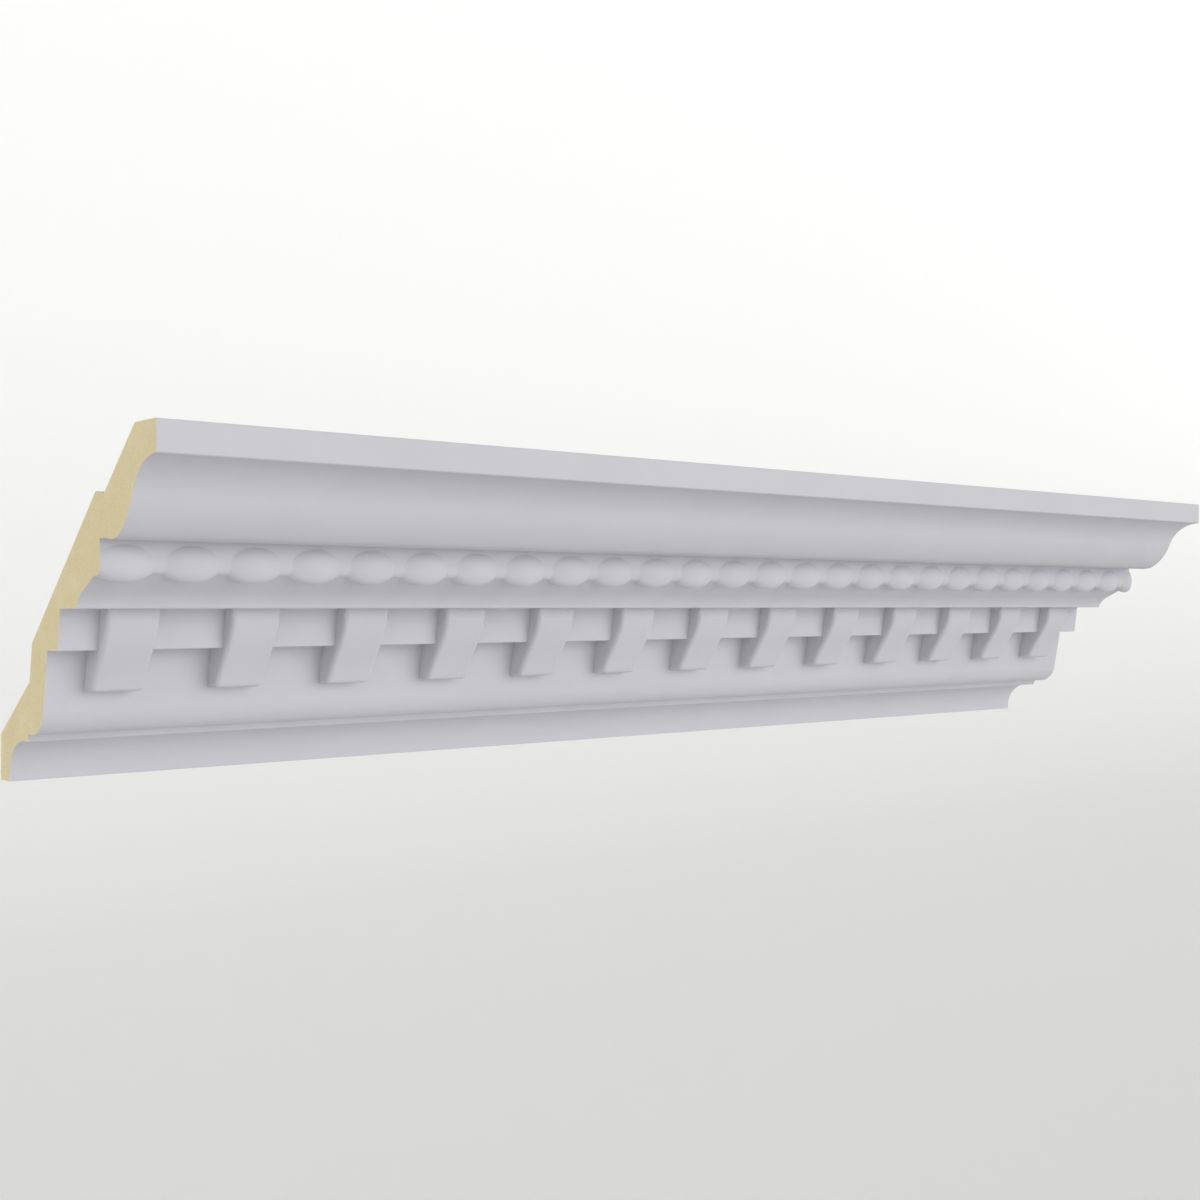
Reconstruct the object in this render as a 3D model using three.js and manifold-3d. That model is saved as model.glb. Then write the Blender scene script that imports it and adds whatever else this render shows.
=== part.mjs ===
// A length of cornice moulding, cast in one piece: a plain crown above, a string of beads,
// a row of curved dentils under a projecting lip, a leaning frieze and a hollow foot.
// Millimetres. +Z up, +X along the run, the wall at +Y. The origin is the middle of the flat
// that bears on the wall. The members below add up to 120 high and 134 out from the wall.
import * as THREE from 'three';
import { mergeVertices } from 'three/addons/utils/BufferGeometryUtils.js';
import Module from 'manifold-3d';

const runLength = 611;

// Foot: a thin edge, a hollow (cavetto) and a small leaning fillet
const footThickness = 8.8;
const footEdgeHeight = 1.5;
const cavettoRadius = 14.0;
const footFilletStep = 4.3;
const footFilletLean = 1.2;
const footFilletHeight = 2.8;

// Frieze: a rounded nose below and a face that leans out as it rises
const friezeUndercut = 3.4;
const friezeNoseRadius = 10.3;
const friezeHeight = 29.9;
const friezeLean = THREE.MathUtils.degToRad(10.1);

// Step band behind the dentils
const bandStep = 9.8;
const bandHeight = 14.4;
const bandLean = 2.0;
const bandEdgeRound = 0.6;

// Lip over the dentils, with a shallow cove above it
const lipDepth = 14.2;
const lipEdgeHeight = 1.6;
const lipEdgeLean = 0.7;
const coveDepth = 13.3;
const coveRise = 7.3;
const coveRadius = 21.8;

// Upright ground that carries the beads, sloped back below down to the cove
const groundStep = 5.7;
const groundRise = 6.1;
const groundHeight = 7.3;
const groundRound = 3.2;
const groundRoundFrom = THREE.MathUtils.degToRad(-50);

// Crown: a recess, a nose, a round, a hollow and the plain top fillet
const crownRecessDepth = 4.1;
const crownNoseDepth = 4.7;
const crownNoseDrop = 0.6;
const crownNoseFlat = { out: 4.55, up: 0.44 };
const crownRoundRadius = 23.4;
const crownRoundFrom = THREE.MathUtils.degToRad(-64.5);
const crownRoundTo = THREE.MathUtils.degToRad(-21.2);
const crownHollowRadius = 18.4;
const topFilletStep = 0.45;
const topFilletRise = 0.35;
const topFilletHeight = 10.5;

// Back: a flat on the wall, a slant up to the frieze and on to a ledge, a flat on the ceiling
const wallFlatHeight = 16.6;
const friezeWall = 14.6;
const lowBendRise = 18.5;
const highBendRise = 2.4;
const ledgeWidth = 6.8;
const ledgeTilt = 1.1;
const ledgeDrop = 20.5;
const ledgeSetBack = 23.7;
const ceilingFlatDepth = 15.5;

// Beads: long pearls on one line, the left end cut between a waist and a bead
const beadPitch = 23.28;
const beadLength = 17.3;
const beadRadius = 7.85;
const beadWaistRadius = 5.75;
const beadFullness = 0.7;
const beadSetIn = 5.95;
const beadRise = 0.9;
const firstBeadCentre = 8.2;
const beadSteps = 8;
const beadSides = 20;

// Dentils: curved blocks under the lip, one to every second bead. The two pulls shape the
// curve of the front and are shares of the block's own height.
const beadsPerDentil = 2;
const dentilWidth = 19.2;
const firstDentilCentre = 23.6;
const dentilTopDepth = 6.3;
const dentilFootDepth = 6.7;
const dentilDrop = 14.8;
const dentilTopPull = 0.4;
const dentilFootPull = { out: 0.195, up: 0.43 };
const dentilFrontSteps = 8;
const dentilEdge = 1.2;
const bedIn = 4.0;

const arcStep = THREE.MathUtils.degToRad(9);

// A place on the section: out from the wall, and up from the foot.
const beyond = (place, out, up) => ({ out: place.out + out, up: place.up + up });

const onCircle = (centre, radius, angle) => (
  beyond(centre, radius * Math.cos(angle), radius * Math.sin(angle))
);

// Places that the members share, worked out from the foot up
const cavettoCentre = { out: footThickness + cavettoRadius, up: footEdgeHeight };
const filletFoot = beyond(cavettoCentre, footFilletStep, cavettoRadius);
const friezeFoot = beyond(filletFoot, footFilletLean, footFilletHeight);
const noseCentre = beyond(friezeFoot, friezeUndercut, friezeNoseRadius);
const noseEnd = onCircle(noseCentre, friezeNoseRadius, -friezeLean);
const friezeTopUp = friezeFoot.up + friezeHeight;
const friezeTop = { out: friezeFaceOut(friezeTopUp), up: friezeTopUp };
const bandFoot = beyond(friezeTop, bandStep, 0);
const bandTop = beyond(bandFoot, bandLean, bandHeight);
const lipFoot = beyond(bandTop, lipDepth, 0);
const lipTop = beyond(lipFoot, lipEdgeLean, lipEdgeHeight);
const coveEnd = beyond(lipTop, coveDepth, coveRise);
const groundFoot = beyond(coveEnd, groundStep, groundRise);
const groundTop = beyond(groundFoot, 0, groundHeight);
const crownRecess = beyond(groundTop, crownRecessDepth, 0);
const crownNose = beyond(crownRecess, crownNoseDepth, -crownNoseDrop);
const roundStart = beyond(crownNose, crownNoseFlat.out, crownNoseFlat.up);
const roundCentre = onCircle(roundStart, -crownRoundRadius, crownRoundFrom);
const crownTurn = onCircle(roundCentre, crownRoundRadius, crownRoundTo);
const hollowCentre = onCircle(crownTurn, crownHollowRadius, crownRoundTo);
const topFilletFoot = beyond(hollowCentre, topFilletStep, crownHollowRadius + topFilletRise);
const crownTop = beyond(topFilletFoot, 0, topFilletHeight);
const beadAxis = beyond(groundFoot, -beadSetIn, beadRise);

// Projection of the frieze face at a height.
function friezeFaceOut(up) {
  return noseEnd.out + (up - noseEnd.up) * Math.tan(friezeLean);
}

// The section is drawn with x towards the wall, so that what stands out has a negative x, and
// with y up. It is extruded along z, from the left end to the right.
const at = (place) => new THREE.Vector2(-place.out, place.up);

// Points of an arc from one angle to another; angle 0 points out of the wall and a quarter
// turn points up.
function arc(centre, radius, from, to) {
  const count = Math.max(2, Math.ceil(Math.abs(to - from) / arcStep));
  const points = [];
  for (let i = 0; i <= count; i += 1) {
    points.push(at(onCircle(centre, radius, from + ((to - from) * i) / count)));
  }
  return points;
}

function footOutline() {
  return [
    at({ out: 0, up: 0 }),
    at({ out: footThickness, up: 0 }),
    ...arc(cavettoCentre, cavettoRadius, Math.PI, Math.PI / 2),
    at(filletFoot),
    at(friezeFoot),
  ];
}

function friezeOutline() {
  return [...arc(noseCentre, friezeNoseRadius, -Math.PI / 2, -friezeLean), at(friezeTop)];
}

// The cove's circle runs through the lip's top edge and the cove's end, hollow side outwards.
function lipOutline() {
  const chord = Math.hypot(coveDepth, coveRise);
  const sideways = Math.sqrt(coveRadius ** 2 - (chord / 2) ** 2) / chord;
  const coveCentre = beyond(
    lipTop,
    coveDepth / 2 + coveRise * sideways,
    coveRise / 2 - coveDepth * sideways,
  );
  const angleOf = (place) => Math.atan2(place.up - coveCentre.up, place.out - coveCentre.out);
  return [
    at(beyond(bandFoot, -bandEdgeRound, 0)),
    at(beyond(bandFoot, 0, bandEdgeRound)),
    at(bandTop),
    at(lipFoot),
    ...arc(coveCentre, coveRadius, angleOf(lipTop), angleOf(coveEnd)),
  ];
}

function groundOutline() {
  const centre = beyond(groundFoot, -groundRound, 0);
  return [...arc(centre, groundRound, groundRoundFrom, 0), at(groundTop)];
}

function crownOutline() {
  const hollow = arc(hollowCentre, crownHollowRadius, Math.PI + crownRoundTo, Math.PI / 2);
  return [
    at(crownRecess),
    at(crownNose),
    ...arc(roundCentre, crownRoundRadius, crownRoundFrom, crownRoundTo),
    ...hollow.slice(1),
    at(topFilletFoot),
    at(crownTop),
  ];
}

function backOutline() {
  const ceilingFlatBack = beyond(crownTop, -ceilingFlatDepth, 0);
  const ledgeInner = beyond(ceilingFlatBack, -ledgeSetBack, -ledgeDrop);
  const highBendUp = friezeTop.up + highBendRise;
  const lowBendUp = friezeFoot.up + lowBendRise;
  return [
    at(ceilingFlatBack),
    at(ledgeInner),
    at(beyond(ledgeInner, -ledgeWidth, ledgeTilt)),
    at({ out: friezeFaceOut(highBendUp) - friezeWall, up: highBendUp }),
    at({ out: friezeFaceOut(lowBendUp) - friezeWall, up: lowBendUp }),
    at({ out: 0, up: wallFlatHeight }),
  ];
}

function mouldingRun() {
  const section = new THREE.Shape([
    ...footOutline(),
    ...friezeOutline(),
    ...lipOutline(),
    ...groundOutline(),
    ...crownOutline(),
    ...backOutline(),
  ]);
  return new THREE.ExtrudeGeometry(section, { depth: runLength, bevelEnabled: false });
}

// Radius of the bead string at a distance from the left end.
function beadStringRadius(distance) {
  const turns = (distance - firstBeadCentre) / beadPitch;
  const fromCentre = Math.abs(turns - Math.round(turns)) * beadPitch;
  const swell = Math.max(0, 1 - (2 * fromCentre / beadLength) ** 2) ** beadFullness;
  return beadWaistRadius + (beadRadius - beadWaistRadius) * swell;
}

function beadString() {
  const step = beadPitch / beadSteps;
  const stations = [0];
  const firstStation = firstBeadCentre - step * Math.floor(firstBeadCentre / step);
  for (let distance = firstStation; distance < runLength - step / 4; distance += step) {
    if (distance > step / 4) {
      stations.push(distance);
    }
  }
  stations.push(runLength);
  const profile = [
    new THREE.Vector2(0, 0),
    ...stations.map((distance) => new THREE.Vector2(beadStringRadius(distance), distance)),
    new THREE.Vector2(0, runLength),
  ];
  const string = new THREE.LatheGeometry(profile, beadSides);
  string.rotateX(Math.PI / 2);
  string.translate(-beadAxis.out, beadAxis.up, 0);
  return string;
}

// One block, bedded a little way into the frieze, the band and the lip, with its edges eased.
// Its middle is at z = 0.
function dentil() {
  const footUp = friezeTop.up - dentilDrop;
  const footFace = { out: friezeFaceOut(footUp), up: footUp };
  const foot = beyond(footFace, dentilFootDepth, 0);
  const top = beyond(bandTop, dentilTopDepth, 0);
  const blockHeight = top.up - foot.up;
  const outline = [
    beyond(bandTop, -bedIn, bedIn),
    beyond(bandFoot, -bedIn, bedIn),
    beyond(friezeTop, -bedIn, bedIn),
    beyond(footFace, -bedIn, 0),
    foot,
  ];
  const front = new THREE.CubicBezierCurve(
    at(foot),
    at(beyond(foot, dentilFootPull.out * blockHeight, dentilFootPull.up * blockHeight)),
    at(beyond(top, 0, -dentilTopPull * blockHeight)),
    at(top),
  );
  const block = new THREE.Shape([
    ...outline.map(at),
    ...front.getPoints(dentilFrontSteps).slice(1),
    at(beyond(top, 0, bedIn)),
  ]);
  const solid = new THREE.ExtrudeGeometry(block, {
    depth: dentilWidth - 2 * dentilEdge,
    bevelThickness: dentilEdge,
    bevelSize: dentilEdge,
    bevelOffset: -dentilEdge,
    bevelSegments: 1,
  });
  solid.translate(0, 0, dentilEdge - dentilWidth / 2);
  return solid;
}

const wasm = await Module();
wasm.setup();

function toSolid(geometry) {
  const bare = geometry.clone();
  bare.deleteAttribute('normal');
  bare.deleteAttribute('uv');
  const merged = mergeVertices(bare, 1e-4);
  return new wasm.Manifold(new wasm.Mesh({
    numProp: 3,
    vertProperties: merged.attributes.position.array,
    triVerts: new Uint32Array(merged.index.array),
  }));
}

function toGeometry(solid) {
  const mesh = solid.getMesh();
  const geometry = new THREE.BufferGeometry();
  geometry.setAttribute('position', new THREE.BufferAttribute(mesh.vertProperties, 3));
  geometry.setIndex(new THREE.BufferAttribute(mesh.triVerts, 1));
  geometry.computeVertexNormals();
  return geometry;
}

function cornice() {
  let solid = toSolid(mouldingRun()).add(toSolid(beadString()));
  const dentilPitch = beadsPerDentil * beadPitch;
  const lastCentre = runLength - dentilWidth / 2;
  for (let centre = firstDentilCentre; centre < lastCentre; centre += dentilPitch) {
    const block = dentil();
    block.translate(0, 0, centre);
    solid = solid.add(toSolid(block));
  }
  return toGeometry(solid);
}

const primedFoam = new THREE.MeshStandardMaterial({ color: 0xc7c6cc, roughness: 0.75, metalness: 0 });

const moulding = new THREE.Mesh(cornice(), primedFoam);
moulding.name = 'cornice_moulding';
// Section x becomes +Y, section y becomes +Z, and the run lies along +X.
const towardsWall = new THREE.Vector3(0, 1, 0);
const upwards = new THREE.Vector3(0, 0, 1);
const alongRun = new THREE.Vector3(1, 0, 0);
moulding.quaternion.setFromRotationMatrix(
  new THREE.Matrix4().makeBasis(towardsWall, upwards, alongRun),
);
moulding.position.set(-runLength / 2, 0, -wallFlatHeight / 2);

const part = new THREE.Group();
part.add(moulding);

export default part;
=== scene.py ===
# A length of cornice moulding in primed polyurethane foam, sawn square at both ends.
# Metres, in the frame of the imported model: +X along the run, +Y into the wall, +Z up.
import math

import bmesh
import bpy
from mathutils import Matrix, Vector


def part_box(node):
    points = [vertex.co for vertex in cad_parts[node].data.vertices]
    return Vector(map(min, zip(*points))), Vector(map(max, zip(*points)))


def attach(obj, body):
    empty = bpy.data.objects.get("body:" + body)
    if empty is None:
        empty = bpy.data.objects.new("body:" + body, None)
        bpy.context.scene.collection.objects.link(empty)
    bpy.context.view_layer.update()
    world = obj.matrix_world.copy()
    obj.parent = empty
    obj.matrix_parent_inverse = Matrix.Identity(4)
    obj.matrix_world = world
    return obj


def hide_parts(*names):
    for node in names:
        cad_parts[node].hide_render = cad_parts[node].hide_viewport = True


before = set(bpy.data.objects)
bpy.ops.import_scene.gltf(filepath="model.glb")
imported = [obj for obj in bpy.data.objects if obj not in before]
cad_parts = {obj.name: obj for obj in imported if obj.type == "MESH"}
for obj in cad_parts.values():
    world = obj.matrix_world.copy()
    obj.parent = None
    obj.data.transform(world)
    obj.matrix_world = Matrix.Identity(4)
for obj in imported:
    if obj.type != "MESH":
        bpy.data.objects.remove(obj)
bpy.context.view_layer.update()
runLow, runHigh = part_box("cornice_moulding")
mm = 0.001
runLength = (runHigh[0] - runLow[0]) / mm
print("frame loaded, run of", round(runLength, 1), "mm")


# camera at the photograph's viewing angle

cameraSetup = {
    "place": (-0.4990, -0.5687, 0.05542),
    "turnFromWall": 40.208,  # degrees to the right of looking straight at the wall
    "lens": 45.816,
    "shiftUp": 0.00453,
}


def makeCamera():
    cameraData = bpy.data.cameras.new("photo_camera")
    cameraData.lens = cameraSetup["lens"]
    cameraData.sensor_width = 36
    cameraData.shift_y = cameraSetup["shiftUp"]
    cameraData.clip_start = 0.01
    camera = bpy.data.objects.new("photo_camera", cameraData)
    camera.location = cameraSetup["place"]
    camera.rotation_euler = (math.radians(90), 0, -math.radians(cameraSetup["turnFromWall"]))
    bpy.context.collection.objects.link(camera)
    bpy.context.scene.camera = camera


makeCamera()
print("camera placed")


# materials

def fromHex(code):
    channels = [int(code[i:i + 2], 16) / 255 for i in (1, 3, 5)]
    linear = [c / 12.92 if c <= 0.04045 else ((c + 0.055) / 1.055) ** 2.4 for c in channels]
    return (*linear, 1)


def addNode(tree, kind, inputs=None, **options):
    node = tree.nodes.new(kind)
    for name, value in options.items():
        setattr(node, name, value)
    for name, value in (inputs or {}).items():
        if isinstance(value, bpy.types.NodeSocket):
            tree.links.new(value, node.inputs[name])
        else:
            node.inputs[name].default_value = value
    return node


def newMaterial(name):
    material = bpy.data.materials.new(name)
    material.use_nodes = True
    material.node_tree.nodes.clear()
    return material, material.node_tree


primer = {
    "light": "#cbcad0",
    "dark": "#c4c3c9",
    "mottle": 38,  # mm, slow drift in how thick the primer lies
    "wave": 7, "waveDepth": 0.08, "waveStrength": 0.25,  # mm, unevenness taken from the mould
    # mm, spray grain; the real one is about 0.3 wide, drawn coarser so that it shows
    "peel": 0.9, "peelDepth": 0.03, "peelStrength": 0.35,
    "peelSpread": (0.3, 0.7),  # noise values between which the roughness changes
    "roughness": (0.66, 0.78),
    "ior": 1.47,
}


# Factory primer sprayed on moulded foam: dead matt and even, with a faint spray grain that
# keeps the broad flats from looking like paper.
def primedFoam():
    material, tree = newMaterial("sprayed_primer_on_moulded_foam")
    coords = addNode(tree, "ShaderNodeTexCoord").outputs["Object"]
    mottle = addNode(tree, "ShaderNodeTexNoise",
                     {"Vector": coords, "Scale": 1 / (primer["mottle"] * mm), "Detail": 3})
    wave = addNode(tree, "ShaderNodeTexNoise",
                   {"Vector": coords, "Scale": 1 / (primer["wave"] * mm), "Detail": 1})
    peel = addNode(tree, "ShaderNodeTexNoise",
                   {"Vector": coords, "Scale": 1 / (primer["peel"] * mm), "Detail": 2})
    colour = addNode(tree, "ShaderNodeMix",
                     {"Factor": mottle.outputs["Fac"], "A": fromHex(primer["dark"]),
                      "B": fromHex(primer["light"])}, data_type="RGBA")
    rough = addNode(tree, "ShaderNodeMapRange",
                    {"Value": peel.outputs["Fac"], "From Min": primer["peelSpread"][0],
                     "From Max": primer["peelSpread"][1],
                     "To Min": primer["roughness"][0], "To Max": primer["roughness"][1]})
    waveBump = addNode(tree, "ShaderNodeBump",
                       {"Height": wave.outputs["Fac"], "Strength": primer["waveStrength"],
                        "Distance": primer["waveDepth"] * mm})
    peelBump = addNode(tree, "ShaderNodeBump",
                       {"Height": peel.outputs["Fac"], "Strength": primer["peelStrength"],
                        "Distance": primer["peelDepth"] * mm, "Normal": waveBump.outputs["Normal"]})
    shader = addNode(tree, "ShaderNodeBsdfPrincipled",
                     {"Base Color": colour.outputs["Result"], "Roughness": rough.outputs["Result"],
                      "Normal": peelBump.outputs["Normal"], "IOR": primer["ior"]})
    addNode(tree, "ShaderNodeOutputMaterial", {"Surface": shader.outputs["BSDF"]})
    return material


foam = {
    "light": "#e8dbb6",
    "dark": "#dfd0a3",
    # mm, closed cells; the real ones are 0.2 to 0.3 wide, drawn coarser so that they show
    "cell": 0.6, "cellDepth": 0.12, "cellStrength": 0.5,
    "cloud": 12,  # mm, denser and lighter patches
    "toneSpread": (0.05, 0.4),  # texture values between which the colour changes
    "sawPitch": 1.8, "sawDepth": 0.05, "sawStrength": 0.3,  # mm, strokes of the saw
    "sawWander": 1.5,
    "waveRepeat": 0.314,  # a wave texture of scale 1 repeats at this distance
    "roughness": 0.9,
    "ior": 1.45,
}


# Rigid polyurethane foam, sawn: tan and chalky, pitted by its cut cells.
def sawnFoam():
    material, tree = newMaterial("sawn_rigid_foam")
    coords = addNode(tree, "ShaderNodeTexCoord").outputs["Object"]
    cells = addNode(tree, "ShaderNodeTexVoronoi",
                    {"Vector": coords, "Scale": 1 / (foam["cell"] * mm)})
    cloud = addNode(tree, "ShaderNodeTexNoise",
                    {"Vector": coords, "Scale": 1 / (foam["cloud"] * mm), "Detail": 4})
    strokes = addNode(tree, "ShaderNodeTexWave",
                      {"Vector": coords, "Scale": foam["waveRepeat"] / (foam["sawPitch"] * mm),
                       "Distortion": foam["sawWander"], "Detail": 2}, bands_direction="Z")
    tone = addNode(tree, "ShaderNodeMath",
                   {0: cells.outputs["Distance"], 1: cloud.outputs["Fac"]}, operation="MULTIPLY")
    spread = addNode(tree, "ShaderNodeMapRange",
                     {"Value": tone.outputs["Value"], "From Min": foam["toneSpread"][0],
                      "From Max": foam["toneSpread"][1]})
    colour = addNode(tree, "ShaderNodeMix",
                     {"Factor": spread.outputs["Result"], "A": fromHex(foam["light"]),
                      "B": fromHex(foam["dark"])}, data_type="RGBA")
    strokeBump = addNode(tree, "ShaderNodeBump",
                         {"Height": strokes.outputs["Fac"], "Strength": foam["sawStrength"],
                          "Distance": foam["sawDepth"] * mm})
    cellBump = addNode(tree, "ShaderNodeBump",
                       {"Height": cells.outputs["Distance"], "Strength": foam["cellStrength"],
                        "Distance": foam["cellDepth"] * mm, "Normal": strokeBump.outputs["Normal"]},
                       invert=True)
    shader = addNode(tree, "ShaderNodeBsdfPrincipled",
                     {"Base Color": colour.outputs["Result"], "Roughness": foam["roughness"],
                      "Normal": cellBump.outputs["Normal"], "IOR": foam["ior"]})
    addNode(tree, "ShaderNodeOutputMaterial", {"Surface": shader.outputs["BSDF"]})
    return material


print("materials made")


# the section, in millimetres: each place is a Vector of (out from the wall, up from the foot)

moulding = {
    "footThickness": 8.8, "footEdgeHeight": 1.5, "cavettoRadius": 14.0,
    "footFilletStep": 4.3, "footFilletLean": 1.2, "footFilletHeight": 2.8,
    "friezeUndercut": 3.4, "friezeNoseRadius": 10.3, "friezeHeight": 29.9, "friezeLean": 10.1,
    "bandStep": 9.8, "bandHeight": 14.4, "bandLean": 2.0,
    "lipDepth": 14.2, "lipEdgeHeight": 1.6, "lipEdgeLean": 0.7,
    "coveDepth": 4.65, "coveRise": 4.15, "coveRadius": 12.0, "slopeDepth": 11.2, "slopeRise": 5.65,
    "groundStep": 3.15, "groundRise": 3.0, "groundHeight": 8.25,
    "crownRecessDepth": 4.1, "crownNoseDepth": 4.7, "crownNoseDrop": 0.6,
    "crownNoseFlat": 4.55, "crownNoseFlatRise": 0.44,
    "crownRoundRadius": 23.4, "crownRoundFrom": -64.5, "crownRoundTo": -21.2,
    "crownHollowRadius": 18.4,
    "topFilletStep": 0.45, "topFilletRise": 0.35, "topFilletHeight": 10.15,
    "wallFlatHeight": 16.6, "friezeWall": 14.6, "lowBendRise": 18.5, "highBendRise": 2.4,
    "ledgeWidth": 6.8, "ledgeTilt": 1.1, "ledgeDrop": 20.5, "ledgeSetBack": 23.7,
    "ceilingFlatDepth": 15.5,
    "arrisEase": 0.45,  # how far the mould rounds a sharp outer edge
    "slightEase": 0.3,  # the same where the two sides meet at a blunt angle or a thin step
    "creaseEase": 0.6,  # how far the primer fills an inner corner
    "mostEase": 0.45,  # share of a side that the rounding of one corner may take
    "weld": 0.002,  # points nearer than this are one point
    "sharpAngle": 30,  # degrees; an edge that turns by more stays crisp
}

beads = {
    "pitch": 23.28, "length": 18.8, "firstCentre": 8.6,
    "setIn": 3.15, "rise": 1.0,  # the string's axis from the foot of the ground
    "out": 4.9, "halfHeight": 6.9,  # reach from the axis at the middle of a pearl
    "waistOut": 3.2, "waistHalfHeight": 4.1,  # and between two pearls
    "back": 5.5,  # reach toward the wall
    "squareness": 2.3,  # 2 would make each quarter of the section an ellipse
    "fullness": 1.1, "outlineFullness": 0.8,  # less makes the pearls' ends blunter
    "slopeShare": 0.4,  # where on the slope the beads' own mesh begins
    "stepsPerBead": 48, "slopeSteps": 4, "roundSteps": 24, "groundSteps": 5, "halvings": 24,
}

dentils = {
    "beadsPerDentil": 2, "width": 19.2, "firstCentre": 23.6,
    "topDepth": 6.3, "footDepth": 6.7, "drop": 14.8,
    "topPull": 0.4, "footPull": (0.195, 0.43),  # shares of the block's height
    "edge": 1.8, "footEase": 1.9,  # rounding of the sides' edges and of the foot's
    "edgeSteps": 5, "faceSteps": 13, "footSteps": 6,
    "leastShare": 0.004,  # rows nearer than this share of the climb are one row
    "mostInset": 0.8,  # share of a block's height that the rounding may take
}


arcStep = 4.5  # degrees between the points of an arc


def onCircle(centre, radius, degrees):
    angle = math.radians(degrees)
    return centre + Vector((math.cos(angle), math.sin(angle))) * radius


def arc(centre, radius, start, end, steps=None):
    count = steps or max(2, math.ceil(abs(end - start) / arcStep))
    return [onCircle(centre, radius, start + (end - start) * i / count) for i in range(count + 1)]


def bend(start, pull, otherPull, end, steps):
    line = []
    for i in range(steps + 1):
        t = i / steps
        a, b, c = start.lerp(pull, t), pull.lerp(otherPull, t), otherPull.lerp(end, t)
        line.append(a.lerp(b, t).lerp(b.lerp(c, t), t))
    return line


# the place at a distance from one place toward another, never quite half way
def stepToward(place, other, distance):
    way = other - place
    return place + way.normalized() * min(distance, moulding["mostEase"] * way.length)


# corners is a list of (place, ease); a corner with an ease is rounded off by it
def easeLine(corners, steps=4):
    line = [corners[0][0]]
    for (before, _), (corner, ease), (after, _) in zip(corners, corners[1:], corners[2:]):
        if ease:
            start, end = stepToward(corner, before, ease), stepToward(corner, after, ease)
            line += [start.lerp(corner, i / steps).lerp(corner.lerp(end, i / steps), i / steps)
                     for i in range(steps + 1)]
        else:
            line.append(corner)
    return line + [corners[-1][0]]


def asDrawn(line):
    return [(place, 0) for place in line]


arris = moulding["arrisEase"]
blunt = moulding["slightEase"]
crease = moulding["creaseEase"]
footFront = Vector((moulding["footThickness"], 0))
cavettoCentre = footFront + Vector((moulding["cavettoRadius"], moulding["footEdgeHeight"]))
filletFoot = cavettoCentre + Vector((moulding["footFilletStep"], moulding["cavettoRadius"]))
friezeFoot = filletFoot + Vector((moulding["footFilletLean"], moulding["footFilletHeight"]))
noseCentre = friezeFoot + Vector((moulding["friezeUndercut"], moulding["friezeNoseRadius"]))
noseEnd = onCircle(noseCentre, moulding["friezeNoseRadius"], -moulding["friezeLean"])


def onFrieze(up):
    lean = math.tan(math.radians(moulding["friezeLean"]))
    return Vector((noseEnd.x + (up - noseEnd.y) * lean, up))


friezeTop = onFrieze(friezeFoot.y + moulding["friezeHeight"])
bandFoot = friezeTop + Vector((moulding["bandStep"], 0))
bandTop = bandFoot + Vector((moulding["bandLean"], moulding["bandHeight"]))
lipFoot = bandTop + Vector((moulding["lipDepth"], 0))
lipTop = lipFoot + Vector((moulding["lipEdgeLean"], moulding["lipEdgeHeight"]))
coveEnd = lipTop + Vector((moulding["coveDepth"], moulding["coveRise"]))
slopeEnd = coveEnd + Vector((moulding["slopeDepth"], moulding["slopeRise"]))
groundFoot = slopeEnd + Vector((moulding["groundStep"], moulding["groundRise"]))
groundTop = groundFoot + Vector((0, moulding["groundHeight"]))
crownRecess = groundTop + Vector((moulding["crownRecessDepth"], 0))
crownNose = crownRecess + Vector((moulding["crownNoseDepth"], -moulding["crownNoseDrop"]))
roundStart = crownNose + Vector((moulding["crownNoseFlat"], moulding["crownNoseFlatRise"]))
roundCentre = onCircle(roundStart, -moulding["crownRoundRadius"], moulding["crownRoundFrom"])
crownTurn = onCircle(roundCentre, moulding["crownRoundRadius"], moulding["crownRoundTo"])
hollowCentre = onCircle(crownTurn, moulding["crownHollowRadius"], moulding["crownRoundTo"])
hollowEnd = onCircle(hollowCentre, moulding["crownHollowRadius"], 90)
topFilletFoot = hollowEnd + Vector((moulding["topFilletStep"], moulding["topFilletRise"]))
crownTop = topFilletFoot + Vector((0, moulding["topFilletHeight"]))
ceilingBack = crownTop - Vector((moulding["ceilingFlatDepth"], 0))
ledgeInner = ceilingBack - Vector((moulding["ledgeSetBack"], moulding["ledgeDrop"]))
ledgeOuter = ledgeInner + Vector((-moulding["ledgeWidth"], moulding["ledgeTilt"]))
highBend = onFrieze(friezeTop.y + moulding["highBendRise"]) - Vector((moulding["friezeWall"], 0))
lowBend = onFrieze(friezeFoot.y + moulding["lowBendRise"]) - Vector((moulding["friezeWall"], 0))
wallFlatTop = Vector((0, moulding["wallFlatHeight"]))
wallFlatMiddle = wallFlatTop / 2
beadAxis = groundFoot + Vector((-beads["setIn"], beads["rise"]))
blockStart = onFrieze(friezeTop.y - dentils["drop"])
blockEnd = bandTop + Vector((dentils["topDepth"], 0))

# the cove's circle runs through the lip's top and the cove's end
chord = coveEnd - lipTop
sideways = math.sqrt(moulding["coveRadius"] ** 2 - (chord.length / 2) ** 2) / chord.length
coveCentre = lipTop + chord / 2 + Vector((chord.y, -chord.x)) * sideways


def degreesAbout(centre, place):
    return math.degrees(math.atan2(place.y - centre.y, place.x - centre.x))


coveFrom = degreesAbout(coveCentre, lipTop)
coveTo = degreesAbout(coveCentre, coveEnd)


def onRun(along, place):
    return Vector((runLow[0] + along * mm, runHigh[1] - place.x * mm, runLow[2] + place.y * mm))


def plainRows(line):
    return [[onRun(0, place), onRun(runLength, place)] for place in line]


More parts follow.
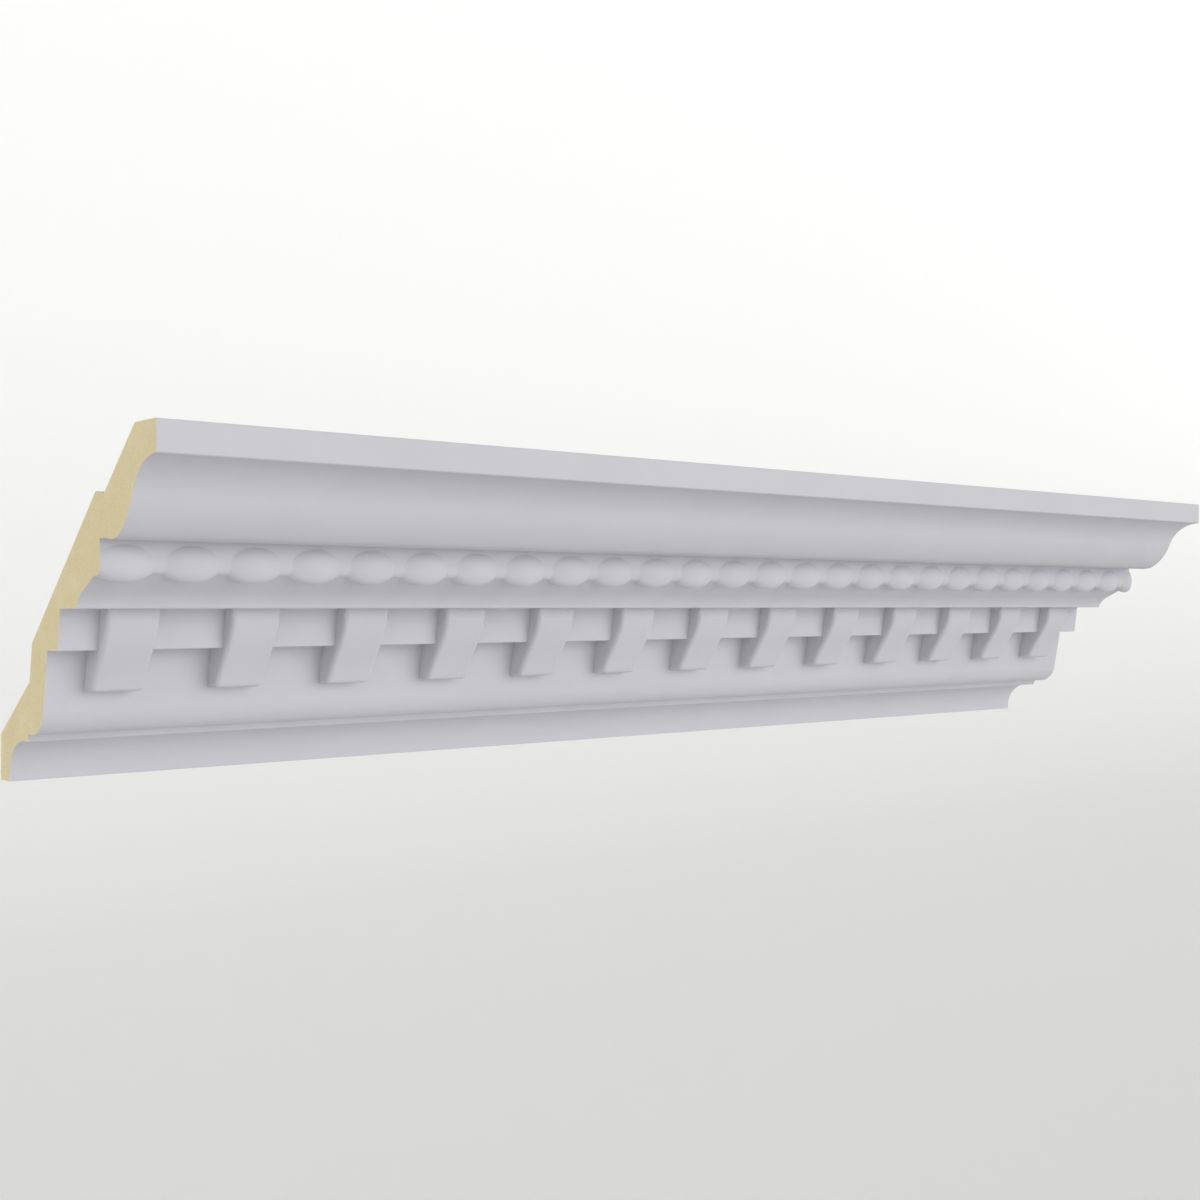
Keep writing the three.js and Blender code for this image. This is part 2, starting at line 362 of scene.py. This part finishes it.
# a place at a share of a line's length, and the way the line runs there
def alongLine(line, share):
    lengths = [(b - a).length for a, b in zip(line, line[1:])]
    left = share * sum(lengths)
    for a, b, length in zip(line, line[1:], lengths):
        if left <= length or b is line[-1]:
            return a.lerp(b, min(1, left / length)), (b - a).normalized()
        left -= length


def sharesOf(line):
    shares = [0]
    for a, b in zip(line, line[1:]):
        shares.append(shares[-1] + (b - a).length)
    return [share / shares[-1] for share in shares]


# Between the frieze and the lip each row runs along the band, and climbs onto a block's face
# and down again at each dentil.
def dentilRows():
    blockHeight = blockEnd.y - blockStart.y
    blockFoot = blockStart + Vector((dentils["footDepth"], 0))
    footPull = blockFoot + Vector(dentils["footPull"]) * blockHeight
    topPull = blockEnd - Vector((0, dentils["topPull"] * blockHeight))
    face = bend(blockFoot, footPull, topPull, blockEnd, dentils["faceSteps"])
    blockLine = easeLine([(blockStart, 0), (blockFoot, dentils["footEase"])] + asDrawn(face[1:]),
                         dentils["footSteps"])
    bandLine = easeLine([(blockStart, 0), (friezeTop, crease), (bandFoot, arris),
                         (bandTop, crease), (blockEnd, 0)])
    shares = []
    for share in sorted(sharesOf(blockLine) + sharesOf(bandLine)):
        if not shares or share - shares[-1] > dentils["leastShare"]:
            shares.append(share)
    shares[-1] = 1

    stations = [(0, None)]  # (distance from the left end, how far in from the block's face)
    centre = dentils["firstCentre"]
    while centre < runLength - dentils["width"] / 2:
        side = []
        for i in range(dentils["edgeSteps"] + 1):
            angle = math.radians(90 * i / dentils["edgeSteps"])
            inFromSide = dentils["edge"] * (1 - math.cos(angle))
            inset = dentils["edge"] * (1 - math.sin(angle))
            side.append((dentils["width"] / 2 - inFromSide, inset))
        stations.append((centre - dentils["width"] / 2, None))
        stations += [(centre - reach, inset) for reach, inset in side]
        stations += [(centre + reach, inset) for reach, inset in reversed(side)]
        stations.append((centre + dentils["width"] / 2, None))
        centre += dentils["beadsPerDentil"] * beads["pitch"]
    stations.append((runLength, None))

    rows = []
    for share in shares:
        bandPlace, _ = alongLine(bandLine, share)
        facePlace, way = alongLine(blockLine, share)
        inward = Vector((-way.y, way.x))
        row = []
        for along, inset in stations:
            if inset is None:
                row.append(onRun(along, bandPlace))
            else:
                depth = min(inset, dentils["mostInset"] * (facePlace - bandPlace).length)
                row.append(onRun(along, facePlace + inward * depth))
        rows.append(row)
    return rows


# how far the bead string reaches out and up from its axis, at a distance from the left end
def stringReach(along):
    turns = (along - beads["firstCentre"]) / beads["pitch"]
    fromCentre = abs(turns - round(turns)) * beads["pitch"]
    swell = max(0, 1 - (2 * fromCentre / beads["length"]) ** 2)
    out, height = swell ** beads["fullness"], swell ** beads["outlineFullness"]
    return (beads["waistOut"] + (beads["out"] - beads["waistOut"]) * out,
            beads["waistHalfHeight"] + (beads["halfHeight"] - beads["waistHalfHeight"]) * height)


# 1 on the surface of the string, less inside it and more outside
def stringLevel(place, reach):
    away = place - beadAxis
    power = beads["squareness"]
    across = away.x / reach[0] if away.x > 0 else -away.x / beads["back"]
    return (across ** power + abs(away.y / reach[1]) ** power) ** (1 / power)


# where the string meets the slope below it, found by halving
def lowCrease(start, reach):
    outside, inside = 0, 1
    for _ in range(beads["halvings"]):
        middle = (outside + inside) / 2
        if stringLevel(start.lerp(slopeEnd, middle), reach) > 1:
            outside = middle
        else:
            inside = middle
    return start.lerp(slopeEnd, inside)


# One column of the bead string: up the slope, round the string, and up the ground behind it.
def beadColumn(along, start):
    reach = stringReach(along)
    low = lowCrease(start, reach)
    power = beads["squareness"]
    clear = max(0, 1 - (beads["setIn"] / reach[0]) ** power) ** (1 / power)
    high = Vector((groundFoot.x, beadAxis.y + reach[1] * clear))
    top = groundTop - Vector((0, crease))
    column = [start.lerp(low, i / beads["slopeSteps"]) for i in range(beads["slopeSteps"])]
    for spoke in arc(beadAxis, 1, degreesAbout(beadAxis, low), degreesAbout(beadAxis, high),
                     steps=beads["roundSteps"]):
        column.append(beadAxis + (spoke - beadAxis) / stringLevel(spoke, reach))
    ground = beads["groundSteps"]
    return column + [high.lerp(top, i / ground) for i in range(1, ground + 1)]


def beadRows():
    start = coveEnd.lerp(slopeEnd, beads["slopeShare"])
    step = beads["pitch"] / beads["stepsPerBead"]
    stations = [0]
    along = beads["firstCentre"] % step
    while along < runLength - step / 4:
        if along > step / 4:
            stations.append(along)
        along += step
    stations.append(runLength)
    columns = [[onRun(along, place) for place in beadColumn(along, start)] for along in stations]
    return [list(row) for row in zip(*columns)]


# Rows of points, each from the left end to the right, joined into one closed skin. Rows with
# as many points as the next are joined by quads, and others by one flat face.
def skin(name, rows, sideMaterial, endMaterial):
    starts = [0]
    for row in rows:
        starts.append(starts[-1] + len(row))
    faces = []
    for i, row in enumerate(rows):
        nextRow = rows[(i + 1) % len(rows)]
        here, there = starts[i], starts[(i + 1) % len(rows)]
        if len(row) == len(nextRow):
            faces += [(here + k, here + k + 1, there + k + 1, there + k)
                      for k in range(len(row) - 1)]
        else:
            faces.append([here + k for k in range(len(row))]
                         + [there + k for k in reversed(range(len(nextRow)))])
    faces.append(starts[:-1])
    faces.append([start - 1 for start in reversed(starts[1:])])
    mesh = bpy.data.meshes.new(name)
    mesh.from_pydata([place for row in rows for place in row], [], faces)
    mesh.materials.append(sideMaterial)
    mesh.materials.append(endMaterial)
    for end in (mesh.polygons[-1], mesh.polygons[-2]):
        end.material_index = 1
    tidy = bmesh.new()
    tidy.from_mesh(mesh)
    bmesh.ops.remove_doubles(tidy, verts=tidy.verts, dist=moulding["weld"] * mm)
    tidy.to_mesh(mesh)
    tidy.free()
    mesh.shade_smooth()
    mesh.set_sharp_from_angle(angle=math.radians(moulding["sharpAngle"]))
    piece = bpy.data.objects.new(name, mesh)
    bpy.context.collection.objects.link(piece)
    flats = piece.modifiers.new("even_flats", "WEIGHTED_NORMAL")
    flats.keep_sharp = True
    return piece


def makeMoulding():
    foot = easeLine(
        [(wallFlatMiddle, 0), (Vector((0, 0)), arris), (footFront, arris)]
        + asDrawn(arc(cavettoCentre, moulding["cavettoRadius"], 180, 90))
        + [(filletFoot, blunt), (friezeFoot, crease)]
        + asDrawn(arc(noseCentre, moulding["friezeNoseRadius"], -90, -moulding["friezeLean"]))
        + [(blockStart, 0)])
    lip = easeLine(
        [(blockEnd, 0), (lipFoot, arris), (lipTop, blunt)]
        + asDrawn(arc(coveCentre, moulding["coveRadius"], coveFrom, coveTo)[1:]))
    turn = moulding["crownRoundTo"]
    crown = easeLine(
        [(groundTop - Vector((0, crease)), 0), (groundTop, crease)]
        + asDrawn([crownRecess, crownNose])
        + asDrawn(arc(roundCentre, moulding["crownRoundRadius"], moulding["crownRoundFrom"], turn))
        + asDrawn(arc(hollowCentre, moulding["crownHollowRadius"], 180 + turn, 90)[1:])
        + [(topFilletFoot, blunt), (crownTop, arris), (ceilingBack, arris), (ledgeInner, crease),
           (ledgeOuter, arris), (highBend, arris), (lowBend, arris), (wallFlatTop, arris),
           (wallFlatMiddle, 0)])
    rows = plainRows(foot[:-1]) + dentilRows() + plainRows(lip[1:])
    rows += beadRows() + plainRows(crown[1:-1])
    return skin("moulded_length", rows, primedFoam(), sawnFoam())


piece = makeMoulding()
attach(piece, "root")
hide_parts("cornice_moulding")
print("moulding built,", len(piece.data.polygons), "faces")


# floor and light

studio = {
    "floorDrop": 0.45,  # below the moulding, which hangs clear of the floor
    "behind": 1.6,  # metres from the wall's plane to where the floor begins to turn up
    "turn": 1.4,  # radius of the turn
    "height": 5, "halfWidth": 9, "inFront": 5,
    "paper": "#f2f2f1", "paperRoughness": 0.95,
    "sky": "#ffffff", "skyStrength": 0.5,
    "lamps": (  # name, direction it comes from, strength, softness in degrees
        ("key_softbox", (0.45, -0.9, 0.0), 2.33, 60),
        ("left_fill", (-1.0, -0.1, 0.0), 1.05, 70),
    ),
}


# a sheet of pale paper that lies on the floor and turns up behind
def makeFloor():
    level = runLow[2] - studio["floorDrop"]
    middle = Vector((studio["behind"], level + studio["turn"]))
    line = [Vector((-studio["inFront"], level))]
    line += arc(middle, studio["turn"], -90, 0)
    line.append(Vector((middle.x + studio["turn"], level + studio["height"])))
    half = studio["halfWidth"]
    points = [(x, place.x, place.y) for place in line for x in (-half, half)]
    faces = [(2 * i, 2 * i + 1, 2 * i + 3, 2 * i + 2) for i in range(len(line) - 1)]
    mesh = bpy.data.meshes.new("floor")
    mesh.from_pydata(points, [], faces)
    mesh.shade_smooth()
    floor = bpy.data.objects.new("floor", mesh)
    bpy.context.collection.objects.link(floor)
    material, tree = newMaterial("matt_studio_paper")
    shader = addNode(tree, "ShaderNodeBsdfPrincipled",
                     {"Base Color": fromHex(studio["paper"]),
                      "Roughness": studio["paperRoughness"]})
    addNode(tree, "ShaderNodeOutputMaterial", {"Surface": shader.outputs["BSDF"]})
    mesh.materials.append(material)


def makeLight():
    world = bpy.data.worlds.new("studio_sky")
    bpy.context.scene.world = world
    world.use_nodes = True
    background = world.node_tree.nodes["Background"]
    background.inputs["Color"].default_value = fromHex(studio["sky"])
    background.inputs["Strength"].default_value = studio["skyStrength"]
    for name, comesFrom, strength, softness in studio["lamps"]:
        lampData = bpy.data.lights.new(name, "SUN")
        lampData.energy = strength
        lampData.angle = math.radians(softness)
        lamp = bpy.data.objects.new(name, lampData)
        lamp.rotation_euler = Vector(comesFrom).to_track_quat("Z", "Y").to_euler()
        bpy.context.collection.objects.link(lamp)


makeFloor()
makeLight()
bpy.context.scene.view_settings.view_transform = "Standard"
print("floor and light placed")
